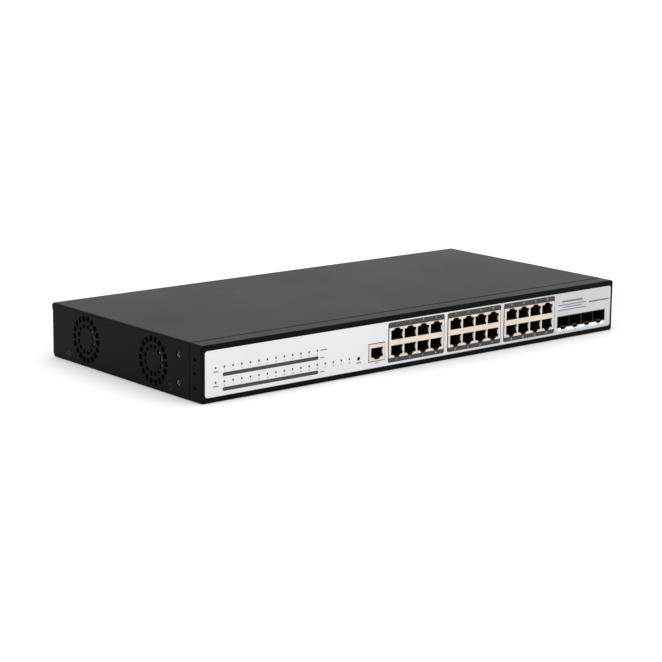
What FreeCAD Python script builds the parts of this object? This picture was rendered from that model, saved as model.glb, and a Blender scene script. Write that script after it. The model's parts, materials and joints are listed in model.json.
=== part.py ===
"""A one-unit rackmount network switch as a parametric document.

Frame: +Z up, the front face looks along -Y, the origin is the middle of the footprint on the
surface that the case stands on. Every size is a cell of the sheet Sizes, in millimetres.
"""

import FreeCAD
import Part

import math
import os
import re

import Sketcher
from FreeCAD import Placement, Rotation, Vector

SIZES = {
    # sheet-metal case
    "case_width": 440,
    "case_depth": 204,
    "case_height": 44,
    "wall": 1,
    "film": 0.25,
    "bezel_depth": 15,
    "seam_gap": 0.6,
    "corner_radius": 2,
    "front_edge_radius": 1,
    "bezel_drop": 0.2,
    "rear_edge_radius": 1,
    "cover_rise": 0.8,
    "cover_heel_radius": 3,
    "lip_height": 5.5,
    "lip_reach": 1.5,
    "slide_gap": 0.1,
    # overlay film on the front
    "jack_proud": 0.4,
    "overlay_width": 433.8,
    "overlay_low": 4.3,
    "overlay_high": 39.4,
    "overlay_corner": 2.3,
    # indicator lights
    "light_first": -207.35,
    "light_pitch": 8.02,
    "light_high_row": 25.85,
    "light_low_row": 14.8,
    "light_radius": 0.8,
    "light_hole_radius": 0.9,
    "light_board_low": 10.5,
    "light_board_high": 33,
    # reset button
    "reset_x": -69.55,
    "reset_z": 13.85,
    "reset_hole_radius": 1.5,
    "reset_stem_radius": 1.2,
    "reset_travel": 0.5,
    "running_gap": 0.05,
    # copper port blocks, two rows of four
    "block_x": -9.25,
    "block_pitch": 63.45,
    "block_width": 58.5,
    "block_height": 24,
    "block_depth": 26,
    "block_gap": 0.35,
    "can_wall": 0.3,
    "can_gap": 0.05,
    "port_pitch": 13.97,
    "port_width": 12.5,
    "port_height": 7.8,
    "port_split": 2.2,
    "port_depth": 14,
    "latch_wide": 7.2,
    "latch_narrow": 4.8,
    "latch_shoulder": 8.7,
    "latch_top": 9.05,
    "console_latch": 9.6,
    "open_latch": 10.2,
    "spring_bulge": 0.35,
    "spring_height": 3.6,
    "contact_pitch": 1.02,
    "contact_width": 0.46,
    # console jack
    "console_x": -51.05,
    "console_width": 15.9,
    "console_height": 13.4,
    "console_depth": 21,
    "console_edge": 10.5,
    "console_gap": 0.7,
    # uplink cage, one row of four
    "cage_x": 180.95,
    "cage_width": 58.3,
    "cage_height": 9.4,
    "cage_depth": 47,
    "cage_recess": 0.25,
    "bay_pitch": 14.55,
    "bay_divider": 0.5,
    "notch_top": 6.6,
    "notch_bottom": 4.5,
    "notch_depth": 1.5,
    # boards
    "board_thick": 1.6,
    "board_low": 8.4,
    "main_left": -195,
    "main_right": 214,
    "main_front": -97.5,
    "main_step": -8,
    "main_rear": 62,
    "main_waist": -22,
    "power_left": -190,
    "power_right": -40,
    "power_front": 4,
    "power_rear": 76,
    "spacer_radius": 2.75,
    "spacer_bore": 1.5,
    "screw_shank": 1.4,
    "screw_head": 2.7,
    "board_hole": 1.7,
    # fans in the left side
    "fan_size": 40,
    "fan_thick": 20,
    "fan_height": 22.2,
    "front_fan_y": -40,
    "rear_fan_y": 52,
    "fan_bore": 18.6,
    "fan_hole_offset": 16,
    "fan_hole": 1.7,
    "fan_hub": 11,
    "fan_lead_z": 12,
    "fan_seat": 11.6,
    "blade_tip": 18,
    "shaft_radius": 1.45,
    "bearing_radius": 3,
    "vent_inner_low": 9,
    "vent_inner_high": 12.1,
    "vent_outer_low": 14.4,
    "vent_outer_high": 18.8,
    "vent_inner_slot": 3.6,
    "vent_outer_slot": 4.1,
    # rack ear fixing
    "ear_front": 9,
    "ear_spacing_y": 21,
    "ear_middle": 21.6,
    "ear_pitch": 10.75,
    "ear_hole": 1.65,
    "ear_clear": 2.15,
    "ear_cover_hole": 2.6,
    "nut_radius": 3.1,
    "nut_height": 2.5,
    # case screws
    "head_rim": 2.5,
    "screw_length": 5,
    "sink_depth": 0.9,
    "drive_reach": 1.5,
    "drive_slot": 0.6,
    "drive_depth": 0.6,
    "case_screw_z": 6.4,
    "case_screw_front": 39.6,
    "case_screw_rear": 179.7,
    # air intake in the right side
    "intake_first": -60,
    "intake_width": 3.2,
    "intake_height": 14,
    # mains inlet in the rear wall
    "inlet_x": -160,
    "inlet_z": 21,
    "inlet_flange_width": 48,
    "inlet_flange_height": 23,
    "inlet_body_width": 27.2,
    "inlet_body_height": 19.6,
    "inlet_recess_width": 24.4,
    "inlet_recess_height": 16.6,
    "inlet_recess_depth": 15.5,
    "inlet_recess_corner": 5,
    "inlet_body_depth": 18,
    "inlet_screw_offset": 20,
    "earth_x": -112,
    "earth_z": 12,
}

doc = FreeCAD.newDocument("rackmount_switch")
sizes = doc.addObject("Spreadsheet::Sheet", "Sizes")
pieces = []


# ---------------------------------------------------------------- sheet and expressions


def fill_sheet():
    for row, (alias, size) in enumerate(SIZES.items(), 1):
        sizes.set("A%d" % row, alias)
        sizes.set("B%d" % row, str(size))
        sizes.setAlias("B%d" % row, alias)
    doc.recompute()


def bound(formula):
    """The formula with each size name pointing at its cell."""
    return re.sub(
        r"[a-z][a-z_]*",
        lambda word: "Sizes." + word.group(0) if word.group(0) in SIZES else word.group(0),
        str(formula),
    )


def number(formula):
    """What the formula comes to, worked out by the document."""
    return float(sizes.evalExpression(bound(formula)))


FRONT = "-case_depth / 2"
REAR = "case_depth / 2"
FILM_FACE = "-case_depth / 2 + jack_proud"
BEZEL_FACE = "-case_depth / 2 + jack_proud + film"
BEZEL_BACK = "-case_depth / 2 + bezel_depth"
COVER_FRONT = "-case_depth / 2 + bezel_depth + seam_gap"
PANEL_REAR = "case_depth / 2 - lip_reach"
PAN_SIDE = "case_width / 2 - wall - slide_gap"
BOARD_TOP = "board_low + board_thick"
FAN_OUT = "-case_width / 2 + 2 * wall + slide_gap"


# ---------------------------------------------------------------- sketches and features


def origin_feature(body, role):
    return next(item for item in body.Origin.OriginFeatures if item.Role == role)


def new_body(label):
    body = doc.addObject("PartDesign::Body", label)
    body.Label = label
    pieces.append(body)
    return body


def place(body, x, y, z):
    for letter, formula in zip("xyz", (x, y, z)):
        body.setExpression("Placement.Base." + letter, bound(formula))


def circle(x, y, radius):
    return ("circle", x, y, radius)


def rect(x_low, y_low, x_high, y_high, corner=None):
    return ("rect", x_low, y_low, x_high, y_high, corner)


def centred(x, y, width, height, corner=None):
    return rect(
        "(%s) - (%s) / 2" % (x, width),
        "(%s) - (%s) / 2" % (y, height),
        "(%s) + (%s) / 2" % (x, width),
        "(%s) + (%s) / 2" % (y, height),
        corner,
    )


def polygon(points):
    return ("polygon", points)


def datum(sketch, kind, *parts):
    """A driving dimension whose last argument is a formula of the sheet."""
    formula = parts[-1]
    index = sketch.addConstraint(Sketcher.Constraint(kind, *parts[:-1], number(formula)))
    sketch.setExpression("Constraints[%d]" % index, bound(formula))


def pin_point(sketch, geometry, end, x, y):
    datum(sketch, "DistanceX", -1, 1, geometry, end, x)
    datum(sketch, "DistanceY", -1, 1, geometry, end, y)


def draw_circle(sketch, x, y, radius):
    centre = Vector(number(x), number(y), 0)
    drawn = sketch.addGeometry(Part.Circle(centre, Vector(0, 0, 1), number(radius)))
    pin_point(sketch, drawn, 3, x, y)
    datum(sketch, "Radius", drawn, radius)


def draw_polygon(sketch, points):
    places = [Vector(number(x), number(y), 0) for x, y in points]
    first = sketch.GeometryCount
    count = len(places)
    for index in range(count):
        sketch.addGeometry(Part.LineSegment(places[index], places[(index + 1) % count]))
    for index in range(count):
        following = first + (index + 1) % count
        sketch.addConstraint(Sketcher.Constraint("Coincident", first + index, 2, following, 1))
        pin_point(sketch, first + index, 1, *points[index])


def draw_rect(sketch, x_low, y_low, x_high, y_high):
    """Four level or upright sides, driven by two opposite corners."""
    left, low, right, high = map(number, (x_low, y_low, x_high, y_high))
    corners = [(left, low), (right, low), (right, high), (left, high)]
    places = [Vector(x, y, 0) for x, y in corners]
    first = sketch.GeometryCount
    for index in range(4):
        sketch.addGeometry(Part.LineSegment(places[index], places[(index + 1) % 4]))
    for index, run in enumerate(("Horizontal", "Vertical", "Horizontal", "Vertical")):
        following = first + (index + 1) % 4
        sketch.addConstraint(Sketcher.Constraint("Coincident", first + index, 2, following, 1))
        sketch.addConstraint(Sketcher.Constraint(run, first + index))
    pin_point(sketch, first, 1, x_low, y_low)
    pin_point(sketch, first + 2, 1, x_high, y_high)


def draw_rounded(sketch, x_low, y_low, x_high, y_high, corner):
    """Four sides and four equal corner arcs, each tangent to the next."""
    left, low, right, high, bend = map(number, (x_low, y_low, x_high, y_high, corner))
    first = sketch.GeometryCount
    sides = [
        ((left + bend, low), (right - bend, low)),
        ((right, low + bend), (right, high - bend)),
        ((right - bend, high), (left + bend, high)),
        ((left, high - bend), (left, low + bend)),
    ]
    centres = [
        (right - bend, low + bend),
        (right - bend, high - bend),
        (left + bend, high - bend),
        (left + bend, low + bend),
    ]
    for quarter in range(4):
        start, end = sides[quarter]
        sketch.addGeometry(Part.LineSegment(Vector(*start, 0), Vector(*end, 0)))
        ring = Part.Circle(Vector(*centres[quarter], 0), Vector(0, 0, 1), bend)
        turn = math.radians(90 * quarter)
        sketch.addGeometry(Part.ArcOfCircle(ring, turn - math.pi / 2, turn))
    for quarter, run in enumerate(("Horizontal", "Vertical", "Horizontal", "Vertical")):
        side = first + 2 * quarter
        following = first + (2 * quarter + 2) % 8
        sketch.addConstraint(Sketcher.Constraint("Tangent", side, 2, side + 1, 1))
        sketch.addConstraint(Sketcher.Constraint("Tangent", side + 1, 2, following, 1))
        sketch.addConstraint(Sketcher.Constraint(run, side))
        if quarter:
            sketch.addConstraint(Sketcher.Constraint("Equal", first + 1, side + 1))
    datum(sketch, "Radius", first + 1, corner)
    datum(sketch, "DistanceY", -1, 1, first, 1, y_low)
    datum(sketch, "DistanceX", -1, 1, first + 2, 1, x_high)
    datum(sketch, "DistanceY", -1, 1, first + 4, 1, y_high)
    datum(sketch, "DistanceX", -1, 1, first + 6, 1, x_low)


def new_sketch(body, name, role, level, loops, centre=("0", "0")):
    """A sketch parallel to an origin plane, with its own origin at the centre on that plane."""
    sketch = body.newObject("Sketcher::SketchObject", name)
    sketch.AttachmentSupport = (origin_feature(body, role), "")
    sketch.MapMode = "FlatFace"
    for letter, formula in zip("xyz", (*centre, level)):
        sketch.setExpression("AttachmentOffset.Base." + letter, bound(formula))
    for kind, *values in loops:
        if kind == "circle":
            draw_circle(sketch, *values)
        elif kind == "polygon":
            draw_polygon(sketch, *values)
        elif values[4] is None:
            draw_rect(sketch, *values[:4])
        else:
            draw_rounded(sketch, *values)
    return sketch


def settle(body, feature, change):
    """Makes the feature the body's tip, and stops if it didn't add or remove anything."""
    before = body.Shape.Volume if body.Tip and body.Tip is not feature else 0
    if body.Tip is feature:
        before = feature.BaseFeature.Shape.Volume if feature.BaseFeature else 0
    body.Tip = feature
    doc.recompute()
    grown = feature.Shape.Volume - before
    if change * grown <= 0:
        raise RuntimeError("%s in %s changed the volume by %g" % (feature.Name, body.Label, grown))
    return feature


PLANES = {"X": "YZ_Plane", "Y": "XZ_Plane", "Z": "XY_Plane"}


def extruded(body, kind, name, axis, low, high, loops, centre=("0", "0")):
    """A pad or pocket of the loops from low to high along an axis. The XZ plane faces -Y."""
    begins = high if (kind == "Pad") == (axis == "Y") else low
    level = "-(%s)" % begins if axis == "Y" else begins
    feature_name = "%s_%s" % (body.Name, name)
    sketch = new_sketch(body, feature_name + "_sketch", PLANES[axis], level, loops, centre)
    feature = body.newObject("PartDesign::" + kind, feature_name)
    feature.Profile = sketch
    feature.setExpression("Length", bound("(%s) - (%s)" % (high, low)))
    return settle(body, feature, 1 if kind == "Pad" else -1)


def slab(body, name, axis, low, high, loops, centre=("0", "0")):
    return extruded(body, "Pad", name, axis, low, high, loops, centre)


def cut(body, name, axis, low, high, loops, centre=("0", "0")):
    return extruded(body, "Pocket", name, axis, low, high, loops, centre)


def drives(body, name, axis, low, high, places):
    """Cross-head drive recesses, cut as two crossing slots."""
    for way, wide, tall in (("across", "2 * drive_reach", "drive_slot"),
                            ("upright", "drive_slot", "2 * drive_reach")):
        slots = [centred(x, y, wide, tall) for x, y in places]
        cut(body, "%s_%s" % (name, way), axis, low, high, slots)


def row(body, feature, axis, spacing, count, change, spacing_again=None, count_again=1):
    """Repeats a feature along an axis, and the row itself again at a second spacing.

    A spacing entry of -1 stands for the pattern's own even spacing.
    """
    pattern = body.newObject("PartDesign::LinearPattern", feature.Name + "_row")
    pattern.Originals = [feature]
    line = origin_feature(body, axis + "_Axis")
    pattern.Direction = (line, [""])
    pattern.Mode = "Spacing"
    pattern.setExpression("Offset", bound(spacing))
    pattern.Occurrences = count
    if spacing_again:
        pattern.Direction2 = (line, [""])
        pattern.Mode2 = "Spacing"
        pattern.setExpression("Offset2", bound(spacing_again))
        pattern.Occurrences2 = count_again
        pattern.Spacings2 = [-1.0] * (count_again - 1)
    return settle(body, pattern, change)


def ring(body, feature, count, change):
    """Repeats a feature round the upright axis of its own sketch."""
    pattern = body.newObject("PartDesign::PolarPattern", feature.Name + "_ring")
    pattern.Originals = [feature]
    sketch = feature.Profile[0]
    pattern.Axis = (sketch, ["N_Axis"])
    pattern.Angle = 360
    pattern.Occurrences = count
    return settle(body, pattern, change)


def mirrored(body, features, role, change):
    pattern = body.newObject("PartDesign::Mirrored", features[-1].Name + "_mirror")
    pattern.Originals = features
    pattern.MirrorPlane = (origin_feature(body, role), [""])
    return settle(body, pattern, change)


def edges_where(feature, wanted):
    return [
        "Edge%d" % index for index, edge in enumerate(feature.Shape.Edges, 1) if wanted(edge)
    ]


def dressed(body, kind, size, wanted, change=-1):
    """A fillet or chamfer on the edges of the body so far that the test wants."""
    base = body.Tip
    names = edges_where(base, wanted)
    feature = body.newObject("PartDesign::" + kind, base.Name + "_" + kind.lower())
    feature.Base = (base, names)
    feature.setExpression("Radius" if kind == "Fillet" else "Size", bound(size))
    return settle(body, feature, change)


def curve_kind(edge):
    """The edge's curve type, or nothing for an edge that has no curve of its own."""
    try:
        return edge.Curve.TypeId
    except TypeError:
        return None


def runs_along(edge, axis):
    """True for a straight edge along the axis."""
    ends = [vertex.Point for vertex in edge.Vertexes]
    if len(ends) != 2 or curve_kind(edge) != "Part::GeomLine":
        return False
    run = (ends[1] - ends[0]).normalize()
    return abs(abs(run.dot(axis)) - 1) < 1e-6


ALONG_X, ALONG_Y, ALONG_Z = Vector(1, 0, 0), Vector(0, 1, 0), Vector(0, 0, 1)


def is_ring(edge, axis, level, radius):
    """True for a full circle of this radius whose plane is at the level along the axis."""
    if curve_kind(edge) != "Part::GeomCircle" or len(edge.Vertexes) != 1:
        return False
    return abs(edge.Curve.Center.dot(axis) - level) < 1e-4 and abs(edge.Curve.Radius - radius) < 1e-4


# ---------------------------------------------------------------- shared outlines

LIGHT_ROWS = (("high", "light_high_row", 13), ("low", "light_low_row", 17))


def light_holes(body):
    for name, z, count in LIGHT_ROWS:
        hole = cut(body, name + "_lights", "Y", FILM_FACE, BEZEL_FACE + " + wall",
                   [circle("light_first", z, "light_hole_radius")])
        row(body, hole, "X", "light_pitch", count, -1)


def port_outline(x, edge, sign, latch, clearance="0"):
    """The plug opening: a flat edge, then the two-step latch notch up to the latch height."""
    half = "(port_width / 2 + %s)" % clearance
    corners = [
        ("-" + half, "0"),
        (half, "0"),
        (half, "port_height"),
        ("latch_wide / 2", "port_height"),
        ("latch_wide / 2", "latch_shoulder"),
        ("latch_narrow / 2", "latch_shoulder"),
        ("latch_narrow / 2", latch),
        ("-latch_narrow / 2", latch),
        ("-latch_narrow / 2", "latch_shoulder"),
        ("-latch_wide / 2", "latch_shoulder"),
        ("-latch_wide / 2", "port_height"),
        ("-" + half, "port_height"),
    ]
    side = "+" if sign > 0 else "-"
    return polygon([("%s + %s" % (x, a), "%s %s %s" % (edge, side, b)) for a, b in corners])


def front_windows(spread):
    """Cut-outs of the front: three port blocks, the console jack and the uplink cage."""
    high = "%s + block_height + " + spread
    base = BOARD_TOP
    loops = []
    for k in range(3):
        x = "block_x + %d * block_pitch" % k
        half = "(block_width / 2 + %s)" % spread
        loops.append(
            rect(
                "%s - %s" % (x, half), "%s - %s" % (base, spread),
                "%s + %s" % (x, half), high % base,
            )
        )
    half = "(console_width / 2 + console_gap)"
    loops.append(
        rect(
            "console_x - " + half, base + " - console_gap",
            "console_x + " + half, base + " + console_height + console_gap",
        )
    )
    loops.append(polygon(cage_window(spread)))
    loops.append(circle("reset_x", "reset_z", "reset_hole_radius"))
    return loops


def cage_window(spread):
    """The cage's rectangle with a sloping latch notch below the middle of each bay."""
    half = "(cage_width / 2 + %s)" % spread
    low = "%s - %s" % (BOARD_TOP, spread)
    high = "%s + cage_height + %s" % (BOARD_TOP, spread)
    points = [("cage_x + " + half, high), ("cage_x - " + half, high), ("cage_x - " + half, low)]
    for k in range(4):
        x = "cage_x + %g * bay_pitch" % (k - 1.5)
        deep = low + " - notch_depth"
        points.append((x + " - notch_top / 2", low))
        points.append((x + " - notch_bottom / 2", deep))
        points.append((x + " + notch_bottom / 2", deep))
        points.append((x + " + notch_top / 2", low))
    points.append(("cage_x + " + half, low))
    return points


def ear_places():
    """Rack ear holes of one side as (y, z): two in the bezel, two in the case behind it."""
    rows = ["ear_middle - ear_pitch", "ear_middle + ear_pitch"]
    front = [("%s + ear_front" % FRONT, z) for z in rows]
    behind = [("%s + ear_front + ear_spacing_y" % FRONT, z) for z in rows]
    return front, behind


def case_screw_places():
    return [("%s + %s" % (FRONT, y), "case_screw_z") for y in ("case_screw_front", "case_screw_rear")]


BEZEL_SCREWS = (-185, -62, 62, 140, 200)
INTAKE_SLOTS = 22


# ---------------------------------------------------------------- case


def front_bezel():
    body = new_body("front_bezel")
    half = "case_width / 2"
    top = "case_height - bezel_drop"
    slab(body, "shell", "Y", BEZEL_FACE, BEZEL_BACK,
         [rect("-" + half, "0", half, top, "corner_radius")])
    face = number(BEZEL_FACE)
    dressed(body, "Fillet", "front_edge_radius",
            lambda edge: all(abs(vertex.Point.y - face) < 1e-4 for vertex in edge.Vertexes))
    cut(body, "hollow", "Y", BEZEL_FACE + " + wall", BEZEL_BACK,
        [rect("-%s + wall" % half, "wall", half + " - wall", top + " - wall",
              "corner_radius - wall")])
    cut(body, "windows", "Y", BEZEL_FACE, BEZEL_FACE + " + wall", front_windows("block_gap"))
    light_holes(body)
    front, _ = ear_places()
    ears = front + [("%s + ear_front" % FRONT, "ear_middle")]
    holes = [circle(y, z, "ear_hole") for y, z in ears]
    cut(body, "ears_left", "X", "-" + half, "-%s + wall" % half, holes)
    cut(body, "ears_right", "X", half + " - wall", half, holes)
    y = BEZEL_BACK + " - 7"
    holes = [circle(x, y, "spacer_bore + 0.15") for x in BEZEL_SCREWS]
    cut(body, "screw_holes", "Z", "0", "wall", holes)
    radius = number("spacer_bore + 0.15")
    dressed(body, "Chamfer", "sink_depth", lambda edge: is_ring(edge, ALONG_Z, 0, radius))


def front_overlay():
    body = new_body("front_overlay")
    slab(body, "film", "Y", FILM_FACE, BEZEL_FACE,
         [rect("-overlay_width / 2", "overlay_low", "overlay_width / 2", "overlay_high",
               "overlay_corner")])
    cut(body, "windows", "Y", FILM_FACE, BEZEL_FACE, front_windows("block_gap"))
    light_holes(body)


def intake(body, low, high):
    """The row of upright air slots in the right side."""
    slot = rect("intake_first", "ear_middle - intake_height / 2",
                "intake_first + intake_width", "ear_middle + intake_height / 2", "intake_width / 2 - 0.1")
    first = cut(body, "intake", "X", low, high, [slot])
    row(body, first, "Y", "2 * intake_width", INTAKE_SLOTS, -1)


def base_pan():
    body = new_body("base_pan")
    side = "(%s)" % PAN_SIDE
    floor_front = BEZEL_BACK + " + 0.2"
    slab(body, "floor", "Z", "0", "wall", [rect("-" + side, floor_front, side, PANEL_REAR)])
    tongue = "case_width / 2 - wall - 2"
    slab(body, "tongue", "Z", "wall", "2 * wall",
         [rect("-(%s)" % tongue, BEZEL_BACK + " - 12", tongue, BEZEL_BACK + " + 6")])
    top = "case_height - corner_radius"
    slab(body, "rear_wall", "Y", PANEL_REAR + " - wall", PANEL_REAR,
         [rect("-" + side, "0", side, top)])
    for name, low, high in (("left", "-" + side, "-%s + wall" % side),
                            ("right", side + " - wall", side)):
        slab(body, name + "_flange", "X", low, high,
             [rect(floor_front, "0", PANEL_REAR, top)])
        _, behind = ear_places()
        holes = [circle(y, z, "ear_clear") for y, z in behind]
        holes += [circle(y, z, "spacer_bore") for y, z in case_screw_places()]
        cut(body, name + "_holes", "X", low, high, holes)
    for name in ("front_fan_y", "rear_fan_y"):
        holes = [circle(name, "fan_height", "vent_outer_high + 0.2")]
        holes += [circle("%s + %d * fan_hole_offset" % (name, a),
                         "fan_height + %d * fan_hole_offset" % b, "spacer_bore")
                  for a in (-1, 1) for b in (-1, 1)]
        cut(body, name[:-6] + "_port", "X", "-" + side, "-%s + wall" % side, holes)
    intake(body, side + " - wall", side)
    holes = [circle(x, BEZEL_BACK + " - 7", "spacer_bore") for x in BEZEL_SCREWS]
    cut(body, "tongue_holes", "Z", "wall", "2 * wall", holes)
    openings = [centred("inlet_x", "inlet_z", "inlet_body_width + 0.4", "inlet_body_height + 0.4")]
    openings += [circle(x, z, "spacer_bore") for x, z in inlet_screw_places()]
    openings += [circle("earth_x", "earth_z", "2")]
    cut(body, "rear_holes", "Y", PANEL_REAR + " - wall", PANEL_REAR, openings)


def top_cover():
    body = new_body("top_cover")
    half = "case_width / 2"
    slab(body, "shell", "Y", COVER_FRONT, REAR,
         [rect("-" + half, "-10", half, "case_height", "corner_radius")])
    rear, top = number(REAR), number("case_height")
    dressed(body, "Fillet", "rear_edge_radius",
            lambda edge: all(abs(v.Point.y - rear) < 1e-4 and abs(v.Point.z - top) < 2.01
                             for v in edge.Vertexes) and edge.Length > 10)
    cut(body, "hollow", "Y", COVER_FRONT, REAR + " - wall",
        [rect("-%s + wall" % half, "-20", half + " - wall", "case_height - wall",
              "corner_radius - wall")])
    heel = REAR + " - lip_reach"
    lip_low = "case_height - lip_height"
    cut(body, "below", "X", "-" + half, half, [rect(COVER_FRONT, "-20", REAR, "cover_rise")])
    cut(body, "behind", "X", "-" + half, half, [rect(heel, "cover_rise", REAR, lip_low)])
    low = number("cover_rise")
    back = number(heel)
    dressed(body, "Fillet", "cover_heel_radius",
            lambda edge: runs_along(edge, ALONG_X)
            and abs(edge.Vertexes[0].Point.z - low) < 1e-4
            and abs(edge.Vertexes[0].Point.y - back) < 1e-4)
    for y in ("front_fan_y", "rear_fan_y"):
        name = y[:-6]
        vent_slots(body, name + "_outer", y, 18, "vent_outer_low", "vent_outer_high",
                   "vent_outer_slot")
        vent_slots(body, name + "_inner", y, 12, "vent_inner_low", "vent_inner_high",
                   "vent_inner_slot")
    intake(body, half + " - wall", half)
    for name, low_x, high_x in (("left", "-" + half, "-%s + wall" % half),
                                ("right", half + " - wall", half)):
        _, behind = ear_places()
        holes = [circle(y, z, "ear_cover_hole") for y, z in behind]
        holes += [circle(y, z, "spacer_bore + 0.15") for y, z in case_screw_places()]
        cut(body, name + "_holes", "X", low_x, high_x, holes)
    radius, outer = number("spacer_bore + 0.15"), number(half)
    dressed(body, "Chamfer", "sink_depth",
            lambda edge: any(is_ring(edge, ALONG_X, level, radius) for level in (-outer, outer)))


def vent_slots(body, name, centre_y, count, low, high, width):
    """A ring of short slots round a fan's axis, with a bar and not a slot straight above it."""
    left = "-case_width / 2"
    half = "%s / 2" % width
    slot = cut(body, name + "_vent", "X", left, left + " + wall",
               [rect("-" + half, low, half, high)], (centre_y, "fan_height"))
    sketch = slot.Profile[0]
    offset = sketch.AttachmentOffset
    offset.Rotation = Rotation(Vector(0, 0, 1), 180 / count)
    sketch.AttachmentOffset = offset
    ring(body, slot, count, -1)


# ---------------------------------------------------------------- fasteners


def rack_ear_nuts():
    body = new_body("rack_ear_nuts")
    side = "(%s)" % PAN_SIDE
    _, behind = ear_places()
    shank = slab(body, "shank", "X", "-" + side, "-%s + wall" % side,
                 [circle(y, z, "ear_clear - can_gap") for y, z in behind])
    head = slab(body, "head", "X", "-%s + wall" % side, "-%s + wall + nut_height" % side,
                [circle(y, z, "nut_radius") for y, z in behind])
    bore = cut(body, "bore", "X", "-" + side, "-%s + wall + nut_height" % side,
               [circle(y, z, "ear_hole") for y, z in behind])
    mirrored(body, [shank, head, bore], "YZ_Plane", 1)


def countersunk_screws():
    """Flush screws: cover sides, mains inlet, and the bezel's lower return."""
    body = new_body("countersunk_screws")
    half = "case_width / 2"
    under = [(x, BEZEL_BACK + " - 7") for x in BEZEL_SCREWS]
    groups = (
        ("left", "X", "-" + half, 1, case_screw_places()),
        ("right", "X", half, -1, case_screw_places()),
        ("rear", "Y", REAR, -1, inlet_screw_places()),
        ("under", "Z", "0", 1, under),
    )
    inner = []
    for name, axis, level, inward, places in groups:
        for part_name, depth, radius in (("head", "sink_depth", "head_rim"),
                                         ("shank", "screw_length", "screw_shank")):
            far = "%s + (%d) * %s" % (level, inward, depth)
            low, high = (level, far) if inward > 0 else (far, level)
            slab(body, "%s_%s" % (name, part_name), axis, low, high,
                 [circle(x, y, radius) for x, y in places])
        far = "%s + (%d) * drive_depth" % (level, inward)
        low, high = (level, far) if inward > 0 else (far, level)
        drives(body, name + "_drive", axis, low, high, places)
        along = {"X": ALONG_X, "Y": ALONG_Y, "Z": ALONG_Z}[axis]
        inner.append((along, number("%s + (%d) * sink_depth" % (level, inward))))
    rim = number("head_rim")
    dressed(body, "Chamfer", "sink_depth - 0.01",
            lambda edge: any(is_ring(edge, along, level, rim) for along, level in inner))


def inlet_screw_places():
    return [("inlet_x + %d * inlet_screw_offset" % k, "inlet_z") for k in (-1, 1)]


MAIN_FIXINGS = [(-188, -76), (-188, -16), (-72, -62), (22.5, -66), (86, -66), (148.6, -66),
                (208, -30), (-14, 55), (96, 55), (206, 55)]
POWER_FIXINGS = [(-185, 10), (-185, 70), (-46, 10), (-46, 70)]


def board_spacers():
    body = new_body("board_spacers")
    places = MAIN_FIXINGS + POWER_FIXINGS
    slab(body, "posts", "Z", "wall", "board_low", [circle(x, y, "spacer_radius") for x, y in places])
    cut(body, "bores", "Z", "wall", "board_low", [circle(x, y, "spacer_bore") for x, y in places])
    cut_low = [rect(x + 1.8, y - 3, x + 3, y + 3) for x, y in places]
    cut(body, "flats", "Z", "wall + 1", "board_low - 1", cut_low)


def board_screws():
    body = new_body("board_screws")
    places = MAIN_FIXINGS + POWER_FIXINGS
    slab(body, "heads", "Z", BOARD_TOP, BOARD_TOP + " + 1.8",
         [circle(x, y, "screw_head") for x, y in places])
    slab(body, "shanks", "Z", "board_low - 4", BOARD_TOP,
         [circle(x, y, "screw_shank") for x, y in places])
    drives(body, "drive", "Z", BOARD_TOP + " + 0.9", BOARD_TOP + " + 1.8", places)


# ---------------------------------------------------------------- boards and their chips


def main_board():
    body = new_body("main_board")
    outline = [
        ("main_left", "main_front"), ("main_right", "main_front"), ("main_right", "main_rear"),
        ("main_waist", "main_rear"), ("main_waist", "main_step"), ("main_left", "main_step"),
    ]
    slab(body, "plate", "Z", "board_low", BOARD_TOP, [polygon(outline)])
    cut(body, "holes", "Z", "board_low", BOARD_TOP,
        [circle(x, y, "board_hole") for x, y in MAIN_FIXINGS])


def power_board():
    body = new_body("power_board")
    slab(body, "plate", "Z", "board_low", BOARD_TOP,
         [rect("power_left", "power_front", "power_right", "power_rear")])
    cut(body, "holes", "Z", "board_low", BOARD_TOP,
        [circle(x, y, "board_hole") for x, y in POWER_FIXINGS])


def insulation_sheet():
    body = new_body("insulation_sheet")
    slab(body, "film", "Z", "wall", "wall + 0.4",
         [rect("power_left - 2", "power_front - 2", "power_right + 2", "power_rear + 6", "3")])
    cut(body, "holes", "Z", "wall", "wall + 0.4",
        [circle(x, y, "spacer_radius + 0.5") for x, y in POWER_FIXINGS])


def board_parts(label, height, loops, low=BOARD_TOP):
    """Parts of one kind that stand on a board's upper face."""
    body = new_body(label)
    slab(body, "bodies", "Z", low, "%s + %s" % (low, height), loops)
    return body


ASIC_X, ASIC_Y = 40, -24
PHY_X, PHY_Y = (-9.25, 88, 126), -40


def heat_sink(label, places, base, side, fin_height, fins):
    """Finned sinks, each centred on one place and standing on the chip below it."""
    body = new_body(label)
    slab(body, "bases", "Z", base, base + " + 2.5", [centred(x, y, side, side) for x, y in places])
    first = [rect(x - side / 2, y - side / 2, x - side / 2 + 1, y + side / 2) for x, y in places]
    fin = slab(body, "fin", "Z", base + " + 2.5", "%s + 2.5 + %g" % (base, fin_height), first)
    row(body, fin, "X", "%g" % ((side - 1) / (fins - 1)), fins, 1)


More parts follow.
